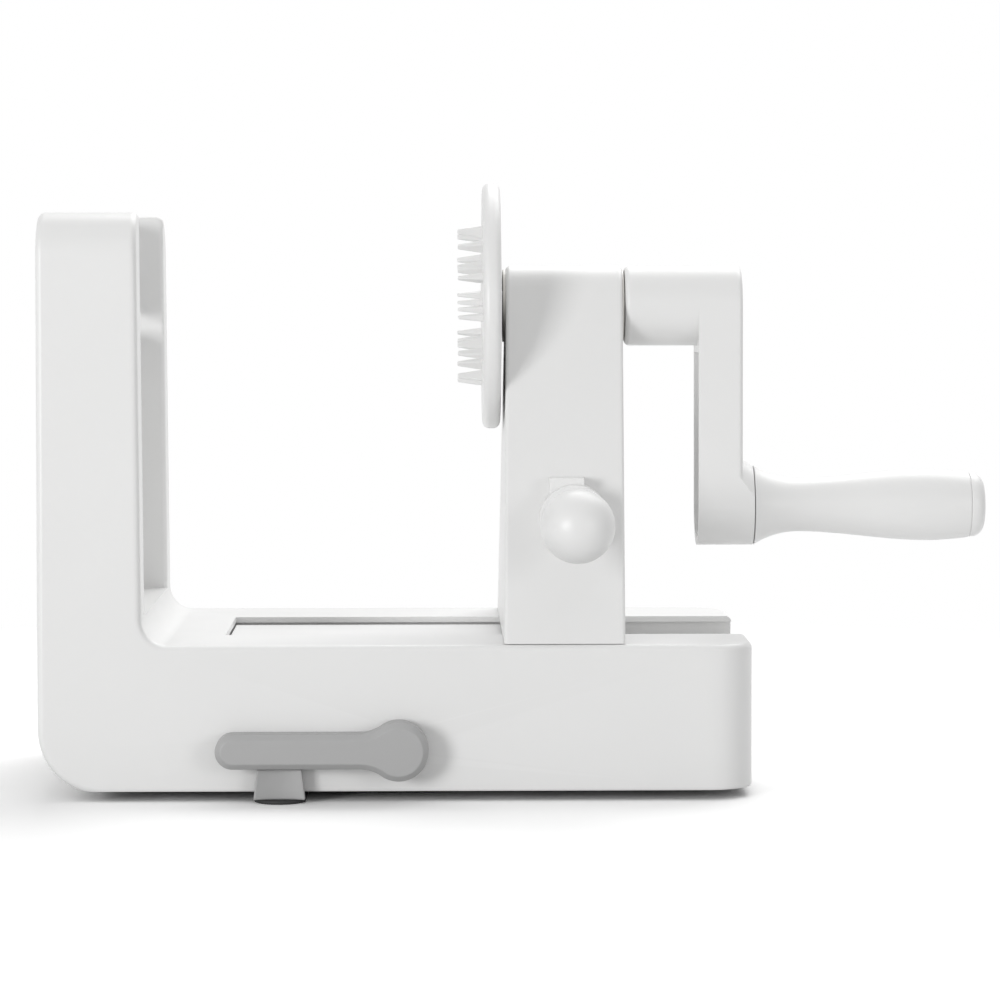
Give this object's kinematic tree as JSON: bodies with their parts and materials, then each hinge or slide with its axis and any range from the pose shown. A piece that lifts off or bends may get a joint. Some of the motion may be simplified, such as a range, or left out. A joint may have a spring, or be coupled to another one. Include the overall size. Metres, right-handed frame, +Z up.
{
  "type": "spiralizer with crank",
  "caption": "Table-top spiral vegetable slicer: L-shaped base with a suction lever, sliding tower with a ball knob, toothed food holder and hand crank.",
  "frame": {"origin": "centre of the base's outline in plan, on the table plane under the suction cup", "axes": "+X from the blade end towards the crank, +Y away from the suction lever's side, +Z up"},
  "size_m": [0.3129, 0.1648, 0.1993],
  "materials": {
    "white_plastic": "fine satin moulded white",
    "grey_plastic": "satin mid grey",
    "dark_plastic": "satin dark grey",
    "slide_plastic": "smooth natural bearing plastic",
    "dark_rubber": "matt dark rubber",
    "blade_steel": "ground and sharpened",
    "plain_steel": "bright plated"
  },
  "bodies": {
    "base": {"body_shell": "white_plastic", "track_bed": "white_plastic", "bed_screws": "plain_steel", "bottom_cover": "dark_plastic", "cover_screws": "plain_steel", "rubber_feet": "dark_rubber", "suction_cup": "dark_rubber", "release_tab": "grey_plastic", "plunger_guide": "slide_plastic", "guide_screws": "plain_steel", "lever_bush": "slide_plastic"},
    "lever": {"suction_lever": "grey_plastic", "cam_shaft": "plain_steel", "shaft_clip": "plain_steel"},
    "plunger": {"cup_plunger": "slide_plastic", "plunger_spring": "plain_steel"},
    "carriage": {"tower_shell": "white_plastic", "carriage_shoe": "white_plastic", "shoe_screws": "plain_steel", "glide_pads": "slide_plastic", "front_bush": "slide_plastic", "rear_bush": "slide_plastic", "knob_socket": "white_plastic", "knob_stem": "white_plastic", "push_knob": "white_plastic", "knob_screw": "plain_steel"},
    "crank": {"drive_shaft": "plain_steel", "food_holder": "white_plastic", "holder_screw": "plain_steel", "crank_arm": "white_plastic", "crank_screw": "plain_steel", "hub_cap": "white_plastic", "grip_axle": "plain_steel", "axle_washer": "plain_steel", "axle_screw": "plain_steel"},
    "grip": {"hand_grip": "white_plastic", "grip_end_cap": "white_plastic"},
    "cartridge": {"blade_frame": "white_plastic", "slicing_blade": "blade_steel", "blade_screws": "plain_steel", "comb_blades": "blade_steel", "coring_tube": "blade_steel"}
  },
  "joints": [
    {"name": "lever_turn", "type": "hinge", "parent": "base", "child": "lever", "pos_m": [0.0007, 0, 0.0171], "axis": [0, 1, 0], "range_deg": [0, 180]},
    {"name": "cup_pull", "type": "slide", "parent": "base", "child": "plunger", "axis": [0, 0, 1], "range_m": [0, 0.004], "deforming": ["plunger_spring", "suction_cup"]},
    {"name": "carriage_slide", "type": "slide", "parent": "base", "child": "carriage", "axis": [1, 0, 0], "range_m": [-0.093, 0.04]},
    {"name": "crank_turn", "type": "hinge", "parent": "carriage", "child": "crank", "pos_m": [0, 0, 0.158], "axis": [1, 0, 0], "continuous": true},
    {"name": "grip_spin", "type": "hinge", "parent": "crank", "child": "grip", "pos_m": [0.14, 0, 0.0906], "axis": [1, 0, 0], "continuous": true},
    {"name": "cartridge_lift", "type": "slide", "parent": "base", "child": "cartridge", "axis": [0, 0, 1], "range_m": [0, 0.128]}
  ],
  "couplings": [
    {"joint": "lever_turn", "follows": "cup_pull", "rad_per_m": 785.39}
  ]
}
